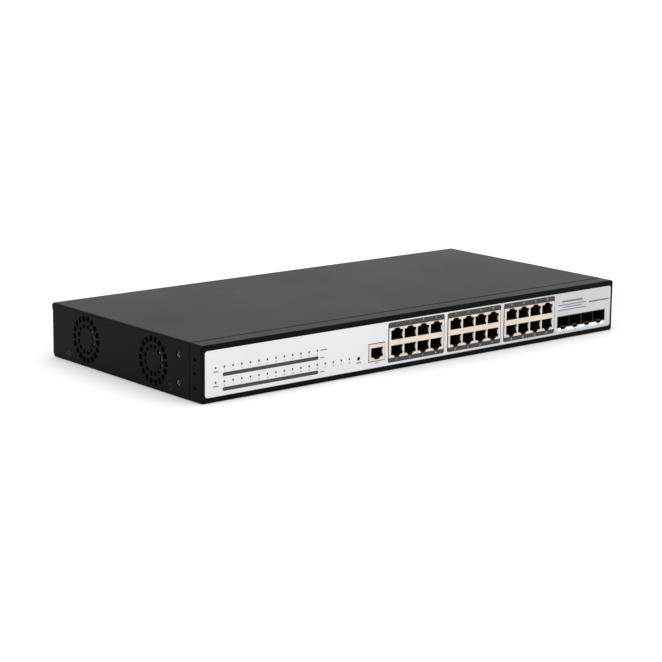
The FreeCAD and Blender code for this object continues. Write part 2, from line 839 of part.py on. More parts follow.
def chips_and_sinks():
    board_parts("switch_chip", "2.4", [centred(ASIC_X, ASIC_Y, 27, 27)])
    heat_sink("switch_heat_sink", [(ASIC_X, ASIC_Y)], BOARD_TOP + " + 2.4", 44, 16, 12)
    places = [(x, PHY_Y) for x in PHY_X]
    board_parts("line_chips", "1.2", [centred(x, y, 15, 15) for x, y in places])
    heat_sink("line_heat_sinks", places, BOARD_TOP + " + 1.2", 20, 9, 7)
    board_parts("memory_chips", "1",
                [centred(x, 4, 9, 13) for x in (28, 44)] + [centred(64, 6, 6, 8)])
    board_parts("power_port_chips", "1",
                [centred(-160 + 24 * k, -48, 9, 9) for k in range(4)])
    board_parts("converter_coils", "7",
                [centred(130 + 18 * k, 10, 12.5, 12.5, 2) for k in range(3)])
    cans = board_parts("board_capacitors", "14",
                       [circle(-160 + 24 * k, -28, 5) for k in range(4)] + [circle(190, 32, 5)])
    level = number(BOARD_TOP + " + 14")
    dressed(cans, "Fillet", "0.8", lambda edge: is_ring(edge, ALONG_Z, level, 5))
    magnetics = board_parts("port_transformers", "6",
                            [centred("block_x + %d * block_pitch + %d" % (k, 13.5 * side), -65, 24, 15)
                             for k in range(3) for side in (-1, 1)])
    dressed(magnetics, "Chamfer", "0.6",
            lambda edge: abs(edge.BoundBox.ZMin - number(BOARD_TOP + " + 6")) < 1e-4)


# ---------------------------------------------------------------- copper ports


def can(body, width, height, depth):
    """A folded metal can, open towards the board, with its face at y = 0."""
    slab(body, "can", "Z", "0", height, [rect("-(%s) / 2" % width, "0", "(%s) / 2" % width, depth)])
    cut(body, "inside", "Z", "0", "%s - can_wall" % height,
        [rect("-(%s) / 2 + can_wall" % width, "can_wall",
              "(%s) / 2 - can_wall" % width, "%s - can_wall" % depth)])


def spring_loops(x):
    """Earthing fingers bent in from both side edges of one opening, seen from above."""
    reach = [("-0.4", "0"), ("0", "0"), ("spring_bulge", "0.6"), ("0.1", "1.4"), ("-0.2", "1.4"),
             ("spring_bulge - 0.3", "0.6"), ("-0.25", "can_wall"), ("-0.4", "can_wall")]
    left = [("%s - port_width / 2 + %s" % (x, a), b) for a, b in reach]
    right = [("%s + port_width / 2 - (%s)" % (x, a), b) for a, b in reach]
    return [polygon(left), polygon(right)]


FIRST_PORT = "-1.5 * port_pitch"
UPPER_EDGE = "block_height / 2 + port_split"
LOWER_EDGE = "block_height / 2 - port_split"


def add_springs(body, name, x, middle, copies):
    """Fingers at the middle height of an opening, repeated along its row of openings."""
    low, high = "%s - spring_height / 2" % middle, "%s + spring_height / 2" % middle
    fingers = slab(body, name, "Z", low, high, spring_loops(x))
    if copies > 1:
        row(body, fingers, "X", "port_pitch", copies, 1)


def port_shield(label, index):
    body = new_body(label)
    place_block(body, index)
    can(body, "block_width", "block_height", "block_depth")
    for name, edge, sign in (("upper", UPPER_EDGE, 1), ("lower", LOWER_EDGE, -1)):
        outline = port_outline(FIRST_PORT, edge, sign, "open_latch")
        opening = cut(body, name + "_port", "Y", "0", "can_wall", [outline])
        row(body, opening, "X", "port_pitch", 4, -1)
        middle = "%s + (%d) * port_height * 0.45" % (edge, sign)
        add_springs(body, name + "_springs", FIRST_PORT, middle, 4)


def place_block(body, index):
    place(body, "block_x + %d * block_pitch" % index, FRONT, BOARD_TOP)


def port_housing(label, index):
    body = new_body(label)
    place_block(body, index)
    inset = "(can_wall + can_gap)"
    slab(body, "block", "Y", inset, "block_depth - " + inset,
         [rect("-block_width / 2 + " + inset, "0", "block_width / 2 - " + inset,
               "block_height - " + inset)])
    for name, edge, sign in (("upper", UPPER_EDGE, 1), ("lower", LOWER_EDGE, -1)):
        cavity = cut(body, name + "_cavity", "Y", inset, "port_depth",
                     [port_outline(FIRST_PORT, edge, sign, "latch_top", "0.3")])
        row(body, cavity, "X", "port_pitch", 4, -1)


def contact_profile(edge, sign):
    """One sprung contact, from the cavity's front edge back to its rear wall."""
    side = "+" if sign > 0 else "-"
    reach = [("6", "0.1"), ("6", "0.4"), ("11.2", "2.5"), ("port_depth", "2.5"),
             ("port_depth", "2.2"), ("11.3", "2.2"), ("6.2", "0.1")]
    return polygon([(y, "%s %s %s" % (edge, side, z)) for y, z in reach])


def contact_rows(body, x, edges, ports):
    for name, edge, sign in edges:
        start = "%s - 3.5 * contact_pitch - contact_width / 2" % x
        strip = slab(body, name + "_contact", "X", start, start + " + contact_width",
                     [contact_profile(edge, sign)])
        if ports > 1:
            row(body, strip, "X", "contact_pitch", 8, 1, "port_pitch", ports)
        else:
            row(body, strip, "X", "contact_pitch", 8, 1)


def port_contacts(label, index):
    body = new_body(label)
    place_block(body, index)
    contact_rows(body, FIRST_PORT, (("upper", UPPER_EDGE, 1), ("lower", LOWER_EDGE, -1)), 4)


def console_jack():
    shield = new_body("console_shield")
    housing = new_body("console_housing")
    contacts = new_body("console_contacts")
    for body in (shield, housing, contacts):
        place(body, "console_x", FRONT, BOARD_TOP)
    can(shield, "console_width", "console_height", "console_depth")
    cut(shield, "port", "Y", "0", "can_wall",
        [port_outline("0", "console_edge", -1, "console_latch")])
    add_springs(shield, "springs", "0", "console_edge - port_height * 0.45", 1)
    inset = "(can_wall + can_gap)"
    slab(housing, "block", "Y", inset, "console_depth - " + inset,
         [rect("-console_width / 2 + " + inset, "0", "console_width / 2 - " + inset,
               "console_height - " + inset)])
    cut(housing, "cavity", "Y", inset, "port_depth",
        [port_outline("0", "console_edge", -1, "latch_top", "0.3")])
    contact_rows(contacts, "0", (("console", "console_edge", -1),), 1)


# ---------------------------------------------------------------- uplink cage

BAY_WIDTH = "bay_pitch - bay_divider"
FIRST_BAY = "-1.5 * bay_pitch"


def place_cage(body):
    place(body, "cage_x", FILM_FACE + " + cage_recess", BOARD_TOP)


def uplink_cage():
    body = new_body("uplink_cage")
    place_cage(body)
    slab(body, "shell", "Z", "0", "cage_height",
         [rect("-cage_width / 2", "0", "cage_width / 2", "cage_depth")])
    bay = cut(body, "bay", "Y", "0", "cage_depth - can_wall",
              [centred(FIRST_BAY, "cage_height / 2", BAY_WIDTH, "cage_height - 2 * can_wall")])
    row(body, bay, "X", "bay_pitch", 4, -1)
    heel = cut(body, "heel", "Z", "0", "can_wall",
               [centred(FIRST_BAY, "cage_depth - 7", "12.6", "11")])
    row(body, heel, "X", "bay_pitch", 4, -1)
    mouth = cut(body, "latch_slot", "Z", "0", "can_wall",
                [centred(FIRST_BAY, "6.5", "notch_bottom + 0.4", "13.1")])
    row(body, mouth, "X", "bay_pitch", 4, -1)


def uplink_latches():
    """The sprung latch tongue in the floor of each bay."""
    body = new_body("uplink_latches")
    place_cage(body)
    start = "%s - notch_bottom / 2" % FIRST_BAY
    profile = [("0.1", "0.55"), ("0.1", "0.85"), ("3", "1.15"), ("12.8", "can_wall"),
               ("12.8", "0.05"), ("3", "0.85")]
    tongue = slab(body, "tongue", "X", start, start + " + notch_bottom", [polygon(profile)])
    row(body, tongue, "X", "bay_pitch", 4, 1)
    hole = cut(body, "hole", "Z", "0", "2", [centred(FIRST_BAY, "5.5", "2.2", "2.6")])
    row(body, hole, "X", "bay_pitch", 4, -1)


def uplink_sockets():
    """The edge connector at the back of each bay."""
    body = new_body("uplink_sockets")
    place_cage(body)
    block = slab(body, "block", "Z", "0", "6.4",
                 [centred(FIRST_BAY, "cage_depth - 7", "12.2", "9.6")])
    row(body, block, "X", "bay_pitch", 4, 1)
    slot = cut(body, "slot", "Y", "cage_depth - 11.8", "cage_depth - 4",
               [centred(FIRST_BAY, "3.6", "9.4", "1.4")])
    row(body, slot, "X", "bay_pitch", 4, -1)


# ---------------------------------------------------------------- indicator lights and reset

LIGHT_BOARD_FRONT = FILM_FACE + " + 2.6"
LIGHT_FACE = FILM_FACE + " + 1.6"


def light_board():
    body = new_body("light_board")
    slab(body, "plate", "Y", LIGHT_BOARD_FRONT, LIGHT_BOARD_FRONT + " + board_thick",
         [rect("light_first - 5", "light_board_low", "light_first + 16 * light_pitch + 4",
               "light_board_high")])


def indicator_lights():
    emitters = new_body("light_emitters")
    guides = new_body("light_guides")
    for name, z, count in LIGHT_ROWS:
        block = slab(emitters, name, "Y", LIGHT_FACE, LIGHT_BOARD_FRONT,
                     [centred("light_first", z, "2", "1.3")])
        row(emitters, block, "X", "light_pitch", count, 1)
        pin = slab(guides, name, "Y", FILM_FACE + " + 0.05", LIGHT_FACE,
                   [circle("light_first", z, "light_radius")])
        row(guides, pin, "X", "light_pitch", count, 1)


def reset_parts():
    switch = new_body("reset_switch")
    mouth = FRONT + " + 8.5"
    slab(switch, "body", "Y", mouth, mouth + " + 7",
         [rect("reset_x - 3.5", BOARD_TOP, "reset_x + 3.5", "reset_z + 3.5")])
    cut(switch, "bore", "Y", mouth, mouth + " + 4 + reset_travel",
        [circle("reset_x", "reset_z", "reset_stem_radius + running_gap")])
    button = new_body("reset_button")
    slab(button, "stem", "Y", FRONT + " + 1.9", mouth + " + 3.9",
         [circle("reset_x", "reset_z", "reset_stem_radius")])
    front = number(FRONT + " + 1.9")
    radius = number("reset_stem_radius")
    dressed(button, "Fillet", "0.3", lambda edge: is_ring(edge, ALONG_Y, front, radius))


# ---------------------------------------------------------------- fans


def fan_frame(label, y):
    """The square housing, with its motor seat and struts at the outer end."""
    body = new_body(label)
    place(body, FAN_OUT, y, "fan_height")
    slab(body, "square", "X", "0", "fan_thick", [centred("0", "0", "fan_size", "fan_size", "2")])
    cut(body, "bore", "X", "0", "fan_thick", [circle("0", "0", "fan_bore")])
    slab(body, "seat", "X", "0", "1.5", [circle("0", "0", "fan_seat")])
    strut = slab(body, "strut", "X", "0", "1.5",
                 [rect("-0.9", "fan_seat - 1", "0.9", "fan_bore + 0.6")])
    ring(body, strut, 4, 1)
    slab(body, "tube", "X", "1.5", "fan_thick - 5", [circle("0", "0", "bearing_radius")])
    cut(body, "bearing", "X", "0.8", "fan_thick - 5", [circle("0", "0", "shaft_radius + running_gap")])
    holes = [circle("%d * fan_hole_offset" % a, "%d * fan_hole_offset" % b, "fan_hole")
             for a in (-1, 1) for b in (-1, 1)]
    cut(body, "holes", "X", "0", "fan_thick", holes)
    cut(body, "lead_notch", "X", "1.5", "5.5",
        [rect("-fan_size / 2 - 1", "-fan_lead_z - 1.8", "-fan_hub", "-fan_lead_z + 1.8")])
    waist = [polygon([("-10", "fan_size / 2"), ("-7", "fan_size / 2 - 0.5"),
                      ("7", "fan_size / 2 - 0.5"), ("10", "fan_size / 2")])]
    groove = cut(body, "waist", "X", "4", "fan_thick - 4", waist)
    ring(body, groove, 4, -1)


BLADES = 7


def fan_rotor(label, y):
    """The hub cup with its shaft and seven twisted blades."""
    body = new_body(label)
    place(body, FAN_OUT, y, "fan_height")
    slab(body, "cup", "X", "2.4", "fan_thick - 1", [circle("0", "0", "fan_hub")])
    cut(body, "hollow", "X", "2.4", "fan_thick - 2.6", [circle("0", "0", "fan_hub - 1")])
    slab(body, "shaft", "X", "1", "fan_thick - 2.5", [circle("0", "0", "shaft_radius")])
    sections = []
    for name, radius, lean in (("root", "fan_hub - 0.4", 3.6), ("tip", "blade_tip - 0.4", 5.2)):
        outline = [("3.6", "-%g" % lean), ("4.5", "-%g" % lean), ("fan_thick - 2.2", "%g" % lean),
                   ("fan_thick - 3.1", "%g" % lean)]
        sections.append(new_sketch(body, "%s_%s" % (body.Name, name), "XY_Plane", radius,
                                   [polygon(outline)]))
    blade = body.newObject("PartDesign::AdditiveLoft", body.Name + "_blade")
    blade.Profile = sections[0]
    blade.Sections = [sections[1]]
    blade.Ruled = True
    settle(body, blade, 1)
    wheel = body.newObject("PartDesign::PolarPattern", body.Name + "_wheel")
    wheel.Originals = [blade]
    wheel.Axis = (origin_feature(body, "X_Axis"), [""])
    wheel.Angle = 360
    wheel.Occurrences = BLADES
    settle(body, wheel, 1)


def fan_stators():
    """The coil packs round both bearing tubes, inside the hub cups."""
    body = new_body("fan_stators")
    place(body, FAN_OUT, "0", "0")
    axes = [("front_fan_y", "fan_height"), ("rear_fan_y", "fan_height")]
    slab(body, "boards", "X", "1.5", "2.1", [circle(y, z, "fan_hub - 1.4") for y, z in axes])
    slab(body, "cores", "X", "2.1", "fan_thick - 6", [circle(y, z, "5") for y, z in axes])
    for centre in axes:
        pole = slab(body, centre[0][:-2] + "_pole", "X", "5", "fan_thick - 8",
                    [rect("-2.6", "4.5", "2.6", "fan_hub - 1.8")], centre)
        ring(body, pole, 4, 1)
    cut(body, "bores", "X", "1.5", "fan_thick - 6",
        [circle(y, z, "bearing_radius + can_gap") for y, z in axes])


def fan_screws():
    body = new_body("fan_screws")
    places = [("%s + %d * fan_hole_offset" % (y, a), "fan_height + %d * fan_hole_offset" % b)
              for y in ("front_fan_y", "rear_fan_y") for a in (-1, 1) for b in (-1, 1)]
    inner = FAN_OUT + " + fan_thick"
    slab(body, "heads", "X", inner, inner + " + 1.8", [circle(y, z, "screw_head") for y, z in places])
    slab(body, "shanks", "X", FAN_OUT + " - wall", inner,
         [circle(y, z, "screw_shank") for y, z in places])
    drives(body, "drive", "X", inner + " + 0.9", inner + " + 1.8", places)


# ---------------------------------------------------------------- power supply


def mains_inlet():
    body = new_body("inlet_housing")
    slab(body, "flange", "Y", PANEL_REAR, REAR,
         [centred("inlet_x", "inlet_z", "inlet_flange_width", "inlet_flange_height", "3")])
    slab(body, "block", "Y", "%s - inlet_body_depth" % REAR, PANEL_REAR,
         [centred("inlet_x", "inlet_z", "inlet_body_width", "inlet_body_height", "1.5")])
    wide, tall = "inlet_recess_width / 2", "inlet_recess_height / 2"
    corners = [
        ("-" + wide, "-" + tall),
        (wide, "-" + tall),
        (wide, tall + " - inlet_recess_corner"),
        (wide + " - inlet_recess_corner", tall),
        ("-%s + inlet_recess_corner" % wide, tall),
        ("-" + wide, tall + " - inlet_recess_corner"),
    ]
    outline = [("inlet_x + " + x, "inlet_z + " + z) for x, z in corners]
    cut(body, "recess", "Y", "%s - inlet_recess_depth" % REAR, REAR, [polygon(outline)])
    cut(body, "fixings", "Y", PANEL_REAR, REAR,
        [circle(x, z, "spacer_bore + 0.15") for x, z in inlet_screw_places()])
    rear, radius = number(REAR), number("spacer_bore + 0.15")
    dressed(body, "Chamfer", "sink_depth", lambda edge: is_ring(edge, ALONG_Y, rear, radius))
    cut(body, "pin_slots", "Y", "%s - inlet_body_depth" % REAR, "%s - inlet_recess_depth" % REAR,
        [centred(x, z, "2.2", "4.2") for x, z in inlet_pin_places()])


def inlet_pin_places():
    places = (("-7", "-1.8"), ("7", "-1.8"), ("0", "2.6"))
    return [("inlet_x + " + x, "inlet_z + " + z) for x, z in places]


def inlet_pins():
    body = new_body("inlet_pins")
    slab(body, "blades", "Y", REAR + " - inlet_body_depth - 6", REAR + " - 6.2",
         [centred(x, z, "2.1", "4.1") for x, z in inlet_pin_places()])


def earth_screw():
    body = new_body("earth_screw")
    slab(body, "head", "Y", PANEL_REAR, REAR + " - 0.1", [circle("earth_x", "earth_z", "3.6")])
    slab(body, "shank", "Y", PANEL_REAR + " - 6", PANEL_REAR, [circle("earth_x", "earth_z", "1.9")])
    drives(body, "drive", "Y", PANEL_REAR + " + 0.7", REAR + " - 0.1", [("earth_x", "earth_z")])


CORE_X, CORE_Y = -104, 42


def power_parts():
    core = board_parts("transformer_core", "24", [centred(CORE_X, CORE_Y, 34, 30)])
    cut(core, "window", "X", CORE_X - 17, CORE_X + 17,
        [rect(CORE_Y - 11, BOARD_TOP + " + 5", CORE_Y - 5, BOARD_TOP + " + 19"),
         rect(CORE_Y + 5, BOARD_TOP + " + 5", CORE_Y + 11, BOARD_TOP + " + 19")])
    low = BOARD_TOP + " + 5.1"
    coil = board_parts("transformer_winding", "13.8", [centred(CORE_X, CORE_Y, 42, 21.8)], low)
    dressed(coil, "Fillet", "1.5", lambda edge: runs_along(edge, ALONG_Z))
    cut(coil, "core_hole", "Z", low, low + " + 13.8", [centred(CORE_X, CORE_Y, 34.2, 10.2)])
    cans = board_parts("power_capacitors", "26", [circle(-148, 24, 9), circle(-148, 45, 9)])
    tops = number(BOARD_TOP + " + 26")
    dressed(cans, "Fillet", "1", lambda edge: is_ring(edge, ALONG_Z, tops, 9))
    slab(cans, "output", "Z", BOARD_TOP, BOARD_TOP + " + 20",
         [circle(-60, 24 + 13 * k, 5) for k in range(3)])
    sinks = board_parts("power_heat_sinks", "27",
                        [rect(-172, 14, -169, 62), rect(-76, 14, -73, 66)])
    fin = slab(sinks, "fins", "Y", "16", "17.2",
               [rect(-180, BOARD_TOP + " + 12", -172, BOARD_TOP + " + 27")])
    row(sinks, fin, "Y", "5", 9, 1)
    board_parts("power_transistors", "16",
                [rect(-169, 20, -164.5, 30), rect(-169, 40, -164.5, 50), rect(-80.5, 30, -76, 40)])


# ---------------------------------------------------------------- leads inside the case


def rounded_path(points):
    """Straight runs joined by tangent arcs, each as large as its two runs allow."""
    places = [Vector(*point) for point in points]
    edges = []
    start = places[0]
    for before, corner, after in zip(places, places[1:], places[2:]):
        back, on = (before - corner), (after - corner)
        run = 0.45 * min(back.Length, on.Length)
        back.normalize()
        on.normalize()
        turn = math.pi - back.getAngle(on)
        radius = run / math.tan(turn / 2)
        leave, join = corner + back * run, corner + on * run
        inward = (back + on).normalize()
        middle = corner + inward * (radius / math.cos(turn / 2) - radius)
        edges.append(Part.LineSegment(start, leave).toShape())
        edges.append(Part.Arc(leave, middle, join).toShape())
        start = join
    edges.append(Part.LineSegment(start, places[-1]).toShape())
    return Part.Wire(edges)


def tube(points, radius):
    path = rounded_path(points)
    profile = Part.Wire(Part.Circle(Vector(*points[0]), path.Edges[0].tangentAt(0), radius).toShape())
    made = path.makePipeShell([profile], True, False)
    expected = math.pi * radius ** 2 * path.Length
    if abs(made.Volume - expected) > 0.02 * expected:
        raise RuntimeError("a lead has %g of volume and not %g" % (made.Volume, expected))
    return made


def lead_node(label, routes, radius):
    """Leads of one colour, each along its own route."""
    node = doc.addObject("Part::Feature", label)
    node.Label = label
    node.Shape = Part.makeCompound([tube(points, radius) for points in routes])
    node.Placement = Placement(Vector(0, 0, 0), Rotation())
    pieces.append(node)


FAN_PLUGS = ((-186, -62), (-186, -24))
LEAD_STARTS = (
    ("fan_leads_red", -0.8, ((-2.6, -11.9), (-5.8, -15.3), (-11.0, -13.3))),
    ("fan_leads_black", 0.8, ((-8.6, -8.7), (-11.8, -10.6))),
)
LEAD_BENDS = (
    ((-206, -65, 12.5), (-194, -64, 19)),
    ((-207, 26, 13), (-195, 14, 19), (-191, -4, 22), (-187, -20, 23)),
)


def fan_leads():
    """Each fan's two leads: from the motor, out by the frame's notch, and over to a board socket."""
    plug_top = number(BOARD_TOP) + 6
    lead_x = number(FAN_OUT) + 2.2
    height = number("fan_height")
    for label, shift, near_motor in LEAD_STARTS:
        routes = []
        for centre, (plug_x, plug_y), bends in zip(("front_fan_y", "rear_fan_y"), FAN_PLUGS, LEAD_BENDS):
            middle = number(centre)
            z = number("fan_height - fan_lead_z") + shift
            route = [(lead_x, middle + y, height + rise) for y, rise in near_motor]
            route += [(lead_x, middle - 16, z), (lead_x + 0.4, middle - 22.5, z)]
            route += [(x + shift, y + shift, rise + shift) for x, y, rise in bends]
            tail = plug_x + shift
            route += [(tail, plug_y, plug_top + 5 + shift), (tail, plug_y, plug_top)]
            routes.append(route)
        lead_node(label, routes, 0.6)


def board_headers():
    """The angled header behind the light board, and a socket for each fan's plug."""
    headers = board_parts("board_headers", "6", [centred(x, y, 8, 5.6) for x, y in FAN_PLUGS])
    back = LIGHT_BOARD_FRONT + " + board_thick"
    slab(headers, "angled", "Y", back, back + " + 9",
         [rect("-150", BOARD_TOP, "-118", BOARD_TOP + " + 8")])


def output_leads():
    board = number(BOARD_TOP)
    routes = []
    for k in range(2):
        y = 52 + 5 * k
        routes.append([(-52, y, board), (-52, y, board + 7), (-44, y - 1, board + 13),
                       (-22, y - 1, board + 14), (-10, y - 10, board + 9), (-10, y - 10, board)])
    lead_node("output_leads", routes, 1.2)


def inlet_leads():
    """Two leads from the inlet to the power board, and one to the earth screw."""
    board = number(BOARD_TOP)
    rear = number(REAR + " - inlet_body_depth - 6")
    pins = [(number(x), number(z)) for x, z in inlet_pin_places()]
    routes = []
    for x, z in pins[:2]:
        routes.append([(x, rear, z), (x, rear - 5, z), (x + 6, rear - 10, z - 1),
                       (x + 10, rear - 14, board + 6), (x + 10, rear - 14, board)])
    x, z = pins[2]
    earth = (number("earth_x"), number(PANEL_REAR + " - 6"), number("earth_z"))
    routes.append([(x, rear, z), (x, rear - 6, z), (x + 10, rear - 10, z + 2.4),
                   (x + 35, rear - 8, z - 2), (earth[0], rear + 3, earth[2]), earth])
    lead_node("inlet_leads", routes, 1.2)


# ---------------------------------------------------------------- build, check, write


def build():
    fill_sheet()
    front_bezel()
    front_overlay()
    base_pan()
    top_cover()
    rack_ear_nuts()
    countersunk_screws()
    board_spacers()
    board_screws()
    main_board()
    power_board()
    insulation_sheet()
    chips_and_sinks()
    for index, side in enumerate(("left", "middle", "right")):
        port_shield(side + "_port_shield", index)
        port_housing(side + "_port_housing", index)
        port_contacts(side + "_port_contacts", index)
    console_jack()
    uplink_cage()
    uplink_latches()
    uplink_sockets()
    light_board()
    indicator_lights()
    reset_parts()
    for side in ("front", "rear"):
        fan_frame(side + "_fan_frame", side + "_fan_y")
        fan_rotor(side + "_fan_rotor", side + "_fan_y")
    fan_stators()
    fan_screws()
    board_headers()
    fan_leads()
    mains_inlet()
    inlet_pins()
    earth_screw()
    power_parts()
    inlet_leads()
    output_leads()
    doc.recompute()


def check():
    for item in doc.Objects:
        if "Invalid" in item.State or "Error" in item.State:
            raise RuntimeError("%s failed: %s" % (item.Name, item.State))
    for piece in pieces:
        if piece.Shape.isNull() or not piece.Shape.isValid():
            raise RuntimeError("%s has no valid shape" % piece.Label)


def write():
    os.makedirs("parts", exist_ok=True)
    for piece in pieces:
        piece.Shape.exportStep("parts/%s.step" % piece.Label)


build()
check()
write()
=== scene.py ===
"""Looks of a rackmount network switch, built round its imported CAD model.

Everything is in metres in the CAD frame: +Z up, the port face looks along -Y, and the origin is
the middle of the footprint. Sizes are written in millimetres and scaled by MM.
"""

import json
import math

import bpy
from mathutils import Matrix, Vector


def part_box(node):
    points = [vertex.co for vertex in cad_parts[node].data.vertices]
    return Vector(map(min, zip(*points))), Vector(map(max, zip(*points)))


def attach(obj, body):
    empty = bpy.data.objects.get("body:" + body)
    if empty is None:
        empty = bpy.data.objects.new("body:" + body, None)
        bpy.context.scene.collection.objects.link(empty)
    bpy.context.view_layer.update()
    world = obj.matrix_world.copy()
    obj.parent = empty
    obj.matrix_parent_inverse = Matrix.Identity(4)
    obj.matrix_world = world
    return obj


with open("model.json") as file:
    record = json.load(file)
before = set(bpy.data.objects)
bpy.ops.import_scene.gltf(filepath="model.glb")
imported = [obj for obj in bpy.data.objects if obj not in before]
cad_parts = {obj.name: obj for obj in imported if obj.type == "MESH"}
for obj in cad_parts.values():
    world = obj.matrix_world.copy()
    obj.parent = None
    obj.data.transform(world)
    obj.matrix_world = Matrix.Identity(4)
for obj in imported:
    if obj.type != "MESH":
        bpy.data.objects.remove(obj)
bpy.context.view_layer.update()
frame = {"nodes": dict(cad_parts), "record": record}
scene = bpy.context.scene
nodes = frame["nodes"]
openings = {row["name"]: row["box_m"] for row in frame["record"]["physics"]["openings"]}

MM = 0.001


def box_mm(node):
    """A CAD node's lowest and highest corner, in millimetres."""
    low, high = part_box(node)
    return low / MM, high / MM


# ---------------------------------------------------------------- camera, floor and lights

# Where the camera stands, in metres, and the directions of its right and up.
CAMERA_PLACE = Vector((-1.04283, -1.23148, 0.35316))
CAMERA_RIGHT = Vector((0.768460, -0.639813, 0.010452))
CAMERA_UP = Vector((0.125404, 0.166596, 0.978018))
CAMERA_LENS = 107.21

# The white surroundings, the broad light overhead, and the weak panel of light in front.
WORLD_STRENGTH = 0.85
OVERHEAD_STRENGTH = 1.3
OVERHEAD_SPREAD = math.radians(120)
FRONT_PLACE = (0.6, -2.2, 1.0)
FRONT_TARGET = (0.05, -0.1, 0.02)
FRONT_SIZE = (1.6, 1.2)
FRONT_POWER = 5

# The floor reaches this far from the middle, in metres, and lies this far under the case, in mm.
FLOOR_REACH = 30.0
FLOOR_DROP = 0.05


def add_camera():
    data = bpy.data.cameras.new("view")
    data.lens = CAMERA_LENS
    data.clip_start = 0.05
    camera = bpy.data.objects.new("view", data)
    scene.collection.objects.link(camera)
    back = CAMERA_RIGHT.cross(CAMERA_UP)
    turn = Matrix((CAMERA_RIGHT, CAMERA_UP, back)).transposed().to_4x4()
    camera.matrix_world = Matrix.Translation(CAMERA_PLACE) @ turn
    scene.camera = camera


def area_light(name, place, target, size, power):
    data = bpy.data.lights.new(name, "AREA")
    data.shape = "RECTANGLE"
    data.size, data.size_y = size
    data.energy = power
    light = bpy.data.objects.new(name, data)
    scene.collection.objects.link(light)
    light.location = place
    aim = Vector(target) - Vector(place)
    light.rotation_euler = aim.to_track_quat("-Z", "Y").to_euler()


def add_studio():
    world = bpy.data.worlds.new("studio")
    scene.world = world
    world.use_nodes = True
    background = world.node_tree.nodes["Background"]
    background.inputs["Color"].default_value = (1.0, 1.0, 1.0, 1.0)
    background.inputs["Strength"].default_value = WORLD_STRENGTH
    scene.view_settings.view_transform = "Standard"
    data = bpy.data.lights.new("overhead", "SUN")
    data.energy = OVERHEAD_STRENGTH
    data.angle = OVERHEAD_SPREAD
    overhead = bpy.data.objects.new("overhead", data)
    scene.collection.objects.link(overhead)
    area_light("front", FRONT_PLACE, FRONT_TARGET, FRONT_SIZE, FRONT_POWER)


def add_floor():
    mesh = bpy.data.meshes.new("floor")
    turns = ((-1, -1), (1, -1), (1, 1), (-1, 1))
    corners = [(x * FLOOR_REACH, y * FLOOR_REACH, 0) for x, y in turns]
    mesh.from_pydata(corners, [], [(0, 1, 2, 3)])
    floor = bpy.data.objects.new("floor", mesh)
    floor.location.z = -FLOOR_DROP * MM
    scene.collection.objects.link(floor)
    paper = Finish("studio_paper", roughness=0.9)
    paper.colour(paper.blend(paper.noise(400, 2), (0.90, 0.90, 0.90), (0.94, 0.94, 0.94)))
    mesh.materials.append(paper.material)


# ---------------------------------------------------------------- materials


